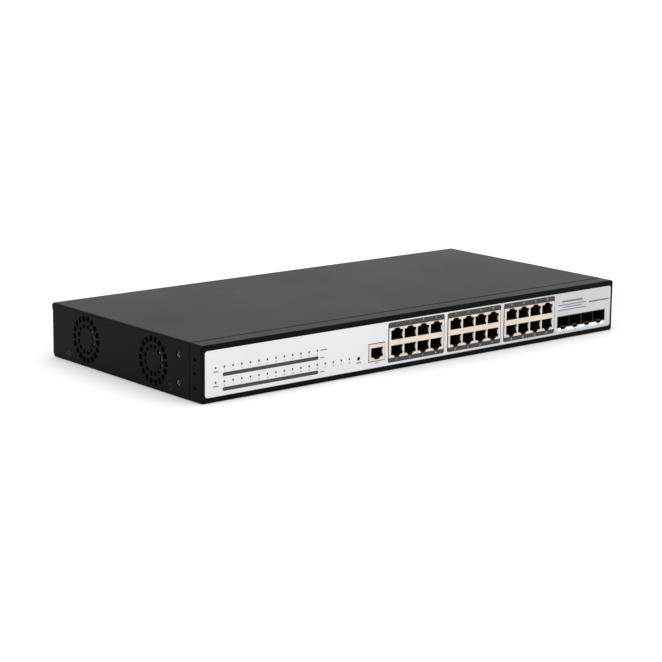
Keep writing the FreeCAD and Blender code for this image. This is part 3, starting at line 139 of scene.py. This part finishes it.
class Finish:
    """A procedural material whose patterns are sized in millimetres of the part's own frame."""

    def __init__(self, name, roughness=0.5, metallic=0.0, specular=0.5):
        self.material = bpy.data.materials.new(name)
        self.material.use_nodes = True
        self.tree = self.material.node_tree
        self.shader = self.tree.nodes["Principled BSDF"]
        self.shader.inputs["Roughness"].default_value = roughness
        self.shader.inputs["Metallic"].default_value = metallic
        self.shader.inputs["Specular IOR Level"].default_value = specular
        self.place = self.vector("SCALE", self.add("ShaderNodeTexCoord").outputs["Object"])
        self.place.node.inputs["Scale"].default_value = 1 / MM

    def add(self, kind, **settings):
        node = self.tree.nodes.new(kind)
        for name, value in settings.items():
            setattr(node, name, value)
        return node

    def feed(self, socket, value):
        """Links a socket, or sets it to a constant."""
        if isinstance(value, bpy.types.NodeSocket):
            self.tree.links.new(value, socket)
        elif isinstance(value, tuple) and len(value) == 3 and socket.type == "RGBA":
            socket.default_value = (*value, 1.0)
        else:
            socket.default_value = value

    def vector(self, operation, first, second=(0, 0, 0)):
        node = self.add("ShaderNodeVectorMath", operation=operation)
        self.feed(node.inputs[0], first)
        self.feed(node.inputs[1], second)
        return node.outputs[0]

    def maths(self, operation, first, second=0.0):
        node = self.add("ShaderNodeMath", operation=operation)
        self.feed(node.inputs[0], first)
        self.feed(node.inputs[1], second)
        return node.outputs[0]

    def axes(self):
        split = self.add("ShaderNodeSeparateXYZ")
        self.feed(split.inputs[0], self.place)
        return split.outputs

    def noise(self, size, detail=3, stretch=(1, 1, 1)):
        """Cloudy values from 0 to 1 with features of this size, longer where stretch is above 1."""
        scaled = self.vector("DIVIDE", self.place, tuple(size * s for s in stretch))
        node = self.add("ShaderNodeTexNoise")
        self.feed(node.inputs["Vector"], scaled)
        node.inputs["Scale"].default_value = 1.0
        node.inputs["Detail"].default_value = detail
        return node.outputs["Fac"]

    def cells(self, size):
        """Values from 0 at the middle of each cell of this size to about 1 between the cells."""
        node = self.add("ShaderNodeTexVoronoi")
        self.feed(node.inputs["Vector"], self.place)
        node.inputs["Scale"].default_value = 1 / size
        return node.outputs["Distance"]

    def span(self, value, low, high, bottom=0.0, top=1.0):
        """Maps low..high onto bottom..top, flat outside."""
        node = self.add("ShaderNodeMapRange")
        for socket, given in zip(node.inputs, (value, low, high, bottom, top)):
            self.feed(socket, given)
        return node.outputs[0]

    def blend(self, amount, first, second):
        """From the first colour, at 0, to the second, at 1."""
        node = self.add("ShaderNodeMix", data_type="RGBA")
        self.feed(node.inputs["Factor"], amount)
        self.feed(node.inputs[6], first)
        self.feed(node.inputs[7], second)
        return node.outputs[2]

    def colour(self, value):
        self.feed(self.shader.inputs["Base Color"], value)

    def roughness(self, value):
        self.feed(self.shader.inputs["Roughness"], value)

    def bump(self, height, depth):
        """Raises the surface by up to depth, in millimetres."""
        node = self.add("ShaderNodeBump")
        node.inputs["Distance"].default_value = depth * MM
        self.feed(node.inputs["Height"], height)
        self.feed(self.shader.inputs["Normal"], node.outputs["Normal"])

    def worn_edges(self, radius):
        """1 on a sharp edge, falling to 0 within about the radius in millimetres."""
        bevel = self.add("ShaderNodeBevel", samples=4)
        bevel.inputs["Radius"].default_value = radius * MM
        flat = self.add("ShaderNodeNewGeometry").outputs["Normal"]
        dot = self.add("ShaderNodeVectorMath", operation="DOT_PRODUCT")
        self.feed(dot.inputs[0], bevel.outputs["Normal"])
        self.feed(dot.inputs[1], flat)
        return self.span(dot.outputs["Value"], 1.0, 0.75)


def powder_coat():
    """Dark satin powder paint with pale flecks and a fine orange-peel skin, lighter on worn edges."""
    finish = Finish("powder_coat", specular=0.03)
    clouds = finish.noise(70, 4)
    grain = finish.noise(0.55, 2)
    body = finish.blend(clouds, (0.0030, 0.0034, 0.0032), (0.0050, 0.0055, 0.0053))
    flecked = finish.blend(finish.span(finish.noise(0.25, 1), 0.62, 0.78), body, (0.014, 0.015, 0.015))
    finish.colour(finish.blend(finish.maths("MULTIPLY", finish.worn_edges(0.5), 0.3), flecked,
                               (0.020, 0.021, 0.021)))
    finish.roughness(finish.span(finish.maths("ADD", grain, clouds), 0.6, 1.4, 0.25, 0.34))
    finish.bump(grain, 0.03)
    return finish.material


# Where the film's colour changes, in millimetres: across the front, where painted shade darkens it to the
# right, and in the strip under the bays, where a painted reflection makes it bluish and brighter.
PAINTED_SHADE_START, PAINTED_SHADE_END = -40, 160
STRIP_HALF, STRIP_SOFT = 27.5, 2.0
STRIP_LOW, STRIP_FULL, STRIP_FADE, STRIP_TOP = 6.2, 8.2, 9.6, 10.2


def panel_film():
    """Satin polyester film, with painted shade that darkens it to the right, and a painted reflection that
    makes it bluish and brighter under the uplink bays.
    """
    finish = Finish("panel_film", specular=0.35)
    x, _, z = finish.axes()
    clouds = finish.noise(30, 3)
    grain = finish.noise(0.35, 3)
    # Painted shade: the film's colour goes from the left colour to the darker right colour across the
    # front.
    left = finish.blend(clouds, (0.68, 0.69, 0.72), (0.73, 0.74, 0.77))
    right = finish.blend(clouds, (0.50, 0.52, 0.535), (0.56, 0.58, 0.595))
    body = finish.blend(finish.span(x, PAINTED_SHADE_START, PAINTED_SHADE_END), left, right)
    body = finish.blend(finish.span(grain, 0.3, 0.7, 0.0, 0.10), body, (0.45, 0.46, 0.48))
    # Painted reflection: a bluish, brighter strip on the film under the uplink bays, fading out at its
    # sides, top and bottom.
    cage_low, cage_high = box_mm("uplink_cage")
    across = finish.maths("ABSOLUTE", finish.maths("SUBTRACT", x, (cage_low.x + cage_high.x) / 2))
    within = finish.span(across, STRIP_HALF, STRIP_HALF + STRIP_SOFT, 1.0, 0.0)
    rise = finish.span(z, STRIP_LOW, STRIP_FULL)
    under = finish.maths("MULTIPLY", within, rise)
    under = finish.maths("MULTIPLY", under, finish.span(z, STRIP_TOP, STRIP_FADE))
    finish.colour(finish.blend(under, body, (0.88, 0.97, 1.0)))
    finish.roughness(finish.span(grain, 0.3, 0.7, 0.36, 0.46))
    finish.bump(grain, 0.006)
    return finish.material


def brushed(name, dark, bright, roughness, along=(30, 1, 1), size=0.25, metallic=1.0):
    """Metal with fine lines along the axis that is stretched, or fine grain if none is, and smudges."""
    finish = Finish(name, metallic=metallic)
    lines = finish.noise(size, 3, along)
    smudges = finish.noise(9, 3)
    mixed = finish.maths("ADD", finish.maths("MULTIPLY", lines, 0.7),
                         finish.maths("MULTIPLY", smudges, 0.3))
    finish.colour(finish.blend(finish.span(mixed, 0.3, 0.7), dark, bright))
    finish.roughness(finish.span(lines, 0.3, 0.7, roughness - 0.06, roughness + 0.08))
    finish.bump(lines, 0.01)
    return finish.material


def moulded(name, colour, roughness, specular=0.4):
    """Moulded plastic with a light spark texture and slightly uneven gloss."""
    finish = Finish(name, specular=specular)
    grain = finish.noise(0.3, 2)
    clouds = finish.noise(6, 3)
    lighter = tuple(min(1.0, c * 1.35 + 0.004) for c in colour)
    finish.colour(finish.blend(clouds, colour, lighter))
    finish.roughness(finish.span(clouds, 0.3, 0.7, roughness - 0.07, roughness + 0.07))
    finish.bump(grain, 0.01)
    return finish.material


def ink(name, colour):
    """Screen-printed ink: matt, with a faint mesh grain."""
    finish = Finish(name, specular=0.3)
    grain = finish.noise(0.3, 2)
    lighter = tuple(c * 1.2 + 0.003 for c in colour)
    finish.colour(finish.blend(finish.span(grain, 0.3, 0.7), colour, lighter))
    finish.roughness(finish.span(grain, 0.3, 0.7, 0.5, 0.64))
    return finish.material


def solder_mask():
    """Green board with copper pours that show through, and a net of lighter tracks."""
    finish = Finish("solder_mask", specular=0.5)
    pours = finish.span(finish.noise(9, 2), 0.47, 0.5)
    tracks = finish.span(finish.cells(2.2), 0.42, 0.5)
    green = finish.blend(finish.maths("MULTIPLY", pours, 0.8),
                         (0.003, 0.018, 0.008), (0.005, 0.032, 0.013))
    finish.colour(finish.blend(finish.maths("MULTIPLY", tracks, 0.35), green, (0.012, 0.050, 0.022)))
    finish.roughness(finish.span(pours, 0.0, 1.0, 0.34, 0.46))
    finish.bump(pours, 0.03)
    return finish.material


def wound(name, dark, bright, pitch, axis=2):
    """Enamelled or taped winding: fine turns stacked along one axis."""
    finish = Finish(name, specular=0.6)
    along = finish.axes()[axis]
    turns = finish.maths("SINE", finish.maths("MULTIPLY", along, 2 * math.pi / pitch))
    finish.colour(finish.blend(finish.span(turns, -1.0, 1.0), dark, bright))
    finish.roughness(finish.span(finish.noise(3, 2), 0.3, 0.7, 0.26, 0.4))
    finish.bump(turns, 0.12)
    return finish.material


def make_finishes():
    """A finish for each of the record's material slots, and for the parts that have their own."""
    return {
        "case_coat": powder_coat(),
        "panel_film": panel_film(),
        "tin_plate": brushed("tin_plate", (0.60, 0.51, 0.42), (0.84, 0.74, 0.63), 0.55, metallic=0.2),
        "bright_steel": brushed("bright_steel", (0.40, 0.40, 0.39), (0.66, 0.66, 0.64), 0.34),
        "cage_steel": brushed("cage_steel", (0.030, 0.030, 0.022), (0.080, 0.078, 0.058),
                              0.42, (1, 30, 1)),
        # dark_steel: dark steel, with a colour made darker than the steel itself as painted shade so that
        # the case's insides stay dark.
        "dark_steel": brushed("dark_steel", (0.008, 0.008, 0.008), (0.022, 0.022, 0.022),
                              0.40, (1, 1, 1)),
        "sink_metal": brushed("sink_metal", (0.45, 0.46, 0.47), (0.70, 0.71, 0.72), 0.38, (1, 30, 1)),
        "nut_nickel": brushed("nut_nickel", (0.30, 0.30, 0.29), (0.60, 0.60, 0.58),
                              0.26, (1, 1, 1), metallic=0.6),
        "latch_brass": brushed("latch_brass", (0.16, 0.125, 0.06), (0.32, 0.26, 0.14), 0.36, (1, 30, 1)),
        "label_foil": brushed("label_foil", (0.010, 0.018, 0.045), (0.030, 0.050, 0.110),
                              0.30, (1, 6, 1), 1.2),
        "label_rim": brushed("label_rim", (0.04, 0.065, 0.11), (0.11, 0.17, 0.27), 0.30, (1, 1, 1), 1.2),
        "gold_contact": brushed("gold_contact", (0.10, 0.07, 0.025), (0.22, 0.16, 0.07),
                                0.34, (1, 20, 1)),
        "jack_plastic": moulded("jack_plastic", (0.005, 0.005, 0.0055), 0.62, 0.15),
        # fan_plastic: the fans are black plastic, and this colour is darker still, as painted shade for
        # the dark inside of the case behind the vents.
        "fan_plastic": moulded("fan_plastic", (0.0025, 0.0025, 0.003), 0.60, 0.03),
        "button_plastic": moulded("button_plastic", (0.012, 0.012, 0.013), 0.35),
        "chip_epoxy": moulded("chip_epoxy", (0.020, 0.020, 0.021), 0.55),
        "ferrite": moulded("ferrite", (0.045, 0.045, 0.047), 0.42),
        "can_sleeve": moulded("can_sleeve", (0.010, 0.018, 0.050), 0.28, 0.6),
        "lead_red": moulded("lead_red", (0.70, 0.016, 0.014), 0.38),
        "lead_black": moulded("lead_black", (0.010, 0.010, 0.010), 0.40),
        "light_pipe": moulded("light_pipe", (0.035, 0.038, 0.048), 0.22, 0.6),
        "clear_film": moulded("clear_film", (0.62, 0.56, 0.42), 0.5),
        "circuit_board": solder_mask(),
        "winding_tape": wound("winding_tape", (0.50, 0.36, 0.04), (0.72, 0.55, 0.10), 4.6),
        "copper_coil": wound("copper_coil", (0.28, 0.09, 0.03), (0.62, 0.27, 0.12), 0.4, 0),
    }


def dress_cad_nodes(finishes):
    """Gives each CAD node its slot's finish, or its own where that looks nearer."""
    slots = {row["node"]: row["material_slot"] for row in frame["record"]["subparts"]}
    slots["uplink_cage"] = "cage_steel"
    slots["uplink_latches"] = "latch_brass"
    slots["rack_ear_nuts"] = "nut_nickel"
    for name, node in nodes.items():
        for holder in node.material_slots:
            holder.material = finishes[slots[name]]


# ---------------------------------------------------------------- front film and its print

# Each port block, with the number of its first port.
BLOCKS = (("left", 1), ("middle", 9), ("right", 17))

# How far each layer of ink stands in front of the film.
LINE_PROUD = 0.02
FIELD_PROUD = 0.035
MARK_PROUD = 0.05

# The printed field reaches this far past a block's shield, with a line round it.
RIM_GAP = 0.35
WINDOW_CORNER = 0.1
FIELD_SIDE = 0.5
FIELD_BELOW = 3.45
FIELD_ABOVE = 4.05
FIELD_CORNER = 1.5
LINE_WIDTH = 0.35
LINE_CORNER = 1.8

# Printed numbers: their heights, their places, and the font size that gives a height of 1.
PORT_NUMBER_HEIGHT = 1.45
PORT_NUMBER_ABOVE = 2.6
PORT_NUMBER_BELOW = 2.05
SMALL_NUMBER_HEIGHT = 1.35
LIGHT_NUMBER_BELOW = 2.9
BAY_NUMBER_BELOW = 3.1
FONT_SIZE = 1.42

# The lights: the guide's radius, pairs of numbered lights, and the bars under both rows.
LIGHT_RADIUS = 0.8
LIGHT_GAPS = 16
LIGHT_PAIRS = 12
BAY_COUNT = 4
BAR_START, BAR_END = 6.4, 97.4
BAR_HALF = 1.42
BAR_CORNER = 1.4
BAR_BELOW_TOP, BAR_BELOW_BOTTOM = 5.7, 5.8


def opening_x(name):
    """Where the middle of a stated opening is across the front, in millimetres."""
    (low_x, _, _), (high_x, _, _) = openings[name]
    return (low_x + high_x) / 2 / MM


def spline_points(points, spline):
    spline.points.add(len(points) - 1)
    for point, (x, z) in zip(spline.points, points):
        point.co = (x * MM, z * MM, 0, 1)
    spline.use_cyclic_u = True


def rounded(low_x, low_z, high_x, high_z, corner, steps=8):
    """A rectangle's outline with round corners."""
    turns = ((high_x - corner, high_z - corner, 0), (low_x + corner, high_z - corner, 90),
             (low_x + corner, low_z + corner, 180), (high_x - corner, low_z + corner, 270))
    points = []
    for x, z, start in turns:
        for step in range(steps + 1):
            angle = math.radians(start + 90 * step / steps)
            points.append((x + corner * math.cos(angle), z + corner * math.sin(angle)))
    return points


def as_mesh(name, curve):
    """Turns a flat curve or text into a mesh object that faces -Y."""
    helper = bpy.data.objects.new(name, curve)
    scene.collection.objects.link(helper)
    bpy.context.view_layer.update()
    solid = helper.evaluated_get(bpy.context.evaluated_depsgraph_get())
    mesh = bpy.data.meshes.new_from_object(solid)
    bpy.data.objects.remove(helper)
    mesh.transform(Matrix.Rotation(math.pi / 2, 4, "X"))
    return mesh


def printed_shape(outlines, proud):
    """A filled flat shape from inside the film to this far in front of it."""
    curve = bpy.data.curves.new("print", "CURVE")
    curve.dimensions = "2D"
    curve.fill_mode = "BOTH"
    curve.extrude = proud * MM
    for outline in outlines:
        spline_points(outline, curve.splines.new("POLY"))
    mesh = as_mesh("print", curve)
    mesh.transform(Matrix.Translation((0, film_low.y * MM, 0)))
    return mesh


def printed_number(value, x, z, height):
    curve = bpy.data.curves.new("number", "FONT")
    curve.body = str(value)
    curve.size = height * FONT_SIZE * MM
    curve.align_x = "CENTER"
    curve.align_y = "CENTER"
    curve.extrude = MARK_PROUD * MM
    mesh = as_mesh("number", curve)
    mesh.transform(Matrix.Translation((x * MM, film_low.y * MM, z * MM)))
    return mesh


def piece(name, meshes, material):
    """One object made of several meshes, which rides on the case."""
    joined = bpy.data.meshes.new(name)
    points, faces = [], []
    for mesh in meshes:
        shift = len(points)
        points += [vertex.co.copy() for vertex in mesh.vertices]
        faces += [[shift + index for index in face.vertices] for face in mesh.polygons]
        bpy.data.meshes.remove(mesh)
    joined.from_pydata(points, [], faces)
    joined.update()
    made = bpy.data.objects.new(name, joined)
    scene.collection.objects.link(made)
    made.data.materials.append(material)
    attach(made, "chassis")


def port_fields():
    """The printed field round each port block, and the darker line round the field."""
    fields, lines = [], []
    for side, _ in BLOCKS:
        low, high = box_mm(side + "_port_shield")
        low_x, low_z, high_x, high_z = low.x, low.z, high.x, high.z
        window = rounded(low_x - RIM_GAP, low_z - RIM_GAP, high_x + RIM_GAP, high_z + RIM_GAP,
                         WINDOW_CORNER, 1)
        field = (low_x - FIELD_SIDE, low_z - FIELD_BELOW, high_x + FIELD_SIDE, high_z + FIELD_ABOVE)
        line = [edge + LINE_WIDTH * side for edge, side in zip(field, (-1, -1, 1, 1))]
        lines.append(printed_shape([rounded(*line, LINE_CORNER), window], LINE_PROUD))
        fields.append(printed_shape([rounded(*field, FIELD_CORNER), window], FIELD_PROUD))
    return fields, lines


def port_numbers():
    numbers = []
    for side, first in BLOCKS:
        low, high = box_mm(side + "_port_shield")
        for k in range(4):
            port_x = opening_x("%s_upper_port_%d" % (side, k + 1))
            numbers.append(printed_number(first + 2 * k, port_x, high.z + PORT_NUMBER_ABOVE,
                                          PORT_NUMBER_HEIGHT))
            numbers.append(printed_number(first + 2 * k + 1, port_x, low.z - PORT_NUMBER_BELOW,
                                          PORT_NUMBER_HEIGHT))
    return numbers


def light_marks():
    """Numbers under the lights and bays, places for dashes by the lights, and the bars."""
    low, high = box_mm("light_guides")
    first, last = low.x + LIGHT_RADIUS, high.x - LIGHT_RADIUS
    pitch = (last - first) / LIGHT_GAPS
    top, bottom = high.z - LIGHT_RADIUS, low.z + LIGHT_RADIUS
    under_top, under_bottom = top - LIGHT_NUMBER_BELOW, bottom - LIGHT_NUMBER_BELOW
    under_bays = box_mm("uplink_cage")[0].z - BAY_NUMBER_BELOW
    marks = []
    for k in range(1, LIGHT_PAIRS + 1):
        light_x = first + k * pitch
        marks.append(printed_number(2 * k - 1, light_x, under_top, SMALL_NUMBER_HEIGHT))
        marks.append(printed_number(2 * k, light_x, under_bottom, SMALL_NUMBER_HEIGHT))
    for k in range(BAY_COUNT):
        number = 2 * LIGHT_PAIRS + 1 + k
        light_x = first + (LIGHT_PAIRS + 1 + k) * pitch
        bay_x = opening_x("uplink_bay_%d" % (k + 1))
        marks.append(printed_number(number, light_x, under_bottom, SMALL_NUMBER_HEIGHT))
        marks.append(printed_number(number, bay_x, under_bays, SMALL_NUMBER_HEIGHT))
    dashes = [(first, under_top, 4.2, 0.9), (first, under_bottom, 4.8, 0.9)]
    row_end = first + 12.6 * pitch - 2
    for rise, wide in ((top, 7.0), (top - 6.0, 4.2), (bottom - 6.0, 4.2)):
        dashes.append((row_end + wide / 2, rise, wide, 0.8))
    bars = []
    for rise in (top - BAR_BELOW_TOP, bottom - BAR_BELOW_BOTTOM):
        outline = rounded(first + BAR_START, rise - BAR_HALF, first + BAR_END, rise + BAR_HALF, BAR_CORNER)
        bars.append(printed_shape([outline], LINE_PROUD))
    return marks, dashes, bars


def label_dashes():
    """Dashes in place of words by the button, the jack and the cage, as (x, z, width, height)."""
    reset_low, reset_high = box_mm("reset_button")
    console_low, console_high = box_mm("console_shield")
    cage_low, cage_high = box_mm("uplink_cage")
    top = film_high.z
    middle = cage_low.x + 17.5
    return [
        ((reset_low.x + reset_high.x) / 2, reset_low.z - 2.0, 4.8, 0.8),
        ((console_low.x + console_high.x) / 2, console_low.z - 2.0, 3.6, 0.8),
        (middle, top - 7.4, 25.0, 1.5),
        (middle, top - 10.3, 34.0, 0.8),
        (middle, top - 12.3, 23.0, 0.8),
        (middle, top - 14.6, 35.0, 0.8),
        (cage_high.x - 7.8, top - 11.0, 25.0, 1.4),
    ]


def front_print():
    field_ink = ink("field_ink", (0.038, 0.038, 0.036))
    line_ink = ink("line_ink", (0.008, 0.008, 0.008))
    pale_ink = ink("pale_ink", (0.50, 0.51, 0.51))
    text_ink = ink("text_ink", (0.14, 0.145, 0.155))
    fields, lines = port_fields()
    marks, dashes, bars = light_marks()
    for x, z, wide, tall in dashes + label_dashes():
        outline = rounded(x - wide / 2, z - tall / 2, x + wide / 2, z + tall / 2, tall * 0.45, 3)
        marks.append(printed_shape([outline], MARK_PROUD))
    piece("print_fields", fields + bars, field_ink)
    piece("print_field_lines", lines, line_ink)
    piece("print_port_numbers", port_numbers(), pale_ink)
    piece("print_marks", marks, text_ink)


# ---------------------------------------------------------------- fans

LABEL_RADIUS = 10.05
LABEL_REACH = 0.95
RIM_WIDTH = 1.3
FOIL_RADIUS = LABEL_RADIUS - RIM_WIDTH - 0.05
CENTRE_HOLE = 0.2
STEPS_ROUND = 96


def turned(profile, centre):
    """A closed profile of (x, radius) turned about the fan's axis."""
    points, faces = [], []
    for x, radius in profile:
        for step in range(STEPS_ROUND):
            angle = 2 * math.pi * step / STEPS_ROUND
            points.append((x * MM, centre.y + radius * MM * math.cos(angle),
                           centre.z + radius * MM * math.sin(angle)))
    for row in range(len(profile)):
        start = row * STEPS_ROUND
        next_start = (row + 1) % len(profile) * STEPS_ROUND
        for step in range(STEPS_ROUND):
            after = (step + 1) % STEPS_ROUND
            faces.append([start + step, start + after, next_start + after, next_start + step])
    mesh = bpy.data.meshes.new("turned")
    mesh.from_pydata(points, [], faces)
    return mesh


def fan_labels(finishes):
    """A slightly domed foil label with a bevelled rim on each fan's motor seat."""
    rims, foils = [], []
    for name in ("front_fan_frame", "rear_fan_frame"):
        low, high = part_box(name)
        centre = (low + high) / 2
        back = low.x / MM
        face = back - LABEL_REACH
        edge = LABEL_RADIUS
        rims.append(turned(((back, edge - RIM_WIDTH), (back, edge), (face + 0.4, edge),
                            (face, edge - 0.4), (face, edge - 0.9), (face + 0.2, edge - RIM_WIDTH)),
                           centre))
        foils.append(turned(((back, CENTRE_HOLE), (back, FOIL_RADIUS), (face + 0.25, FOIL_RADIUS),
                             (face + 0.1, CENTRE_HOLE)), centre))
    piece("fan_label_rims", rims, finishes["label_rim"])
    piece("fan_label_faces", foils, finishes["label_foil"])


# ---------------------------------------------------------------- build


add_camera()
add_studio()
add_floor()
film_low, film_high = box_mm("front_overlay")
finishes = make_finishes()
dress_cad_nodes(finishes)
front_print()
fan_labels(finishes)
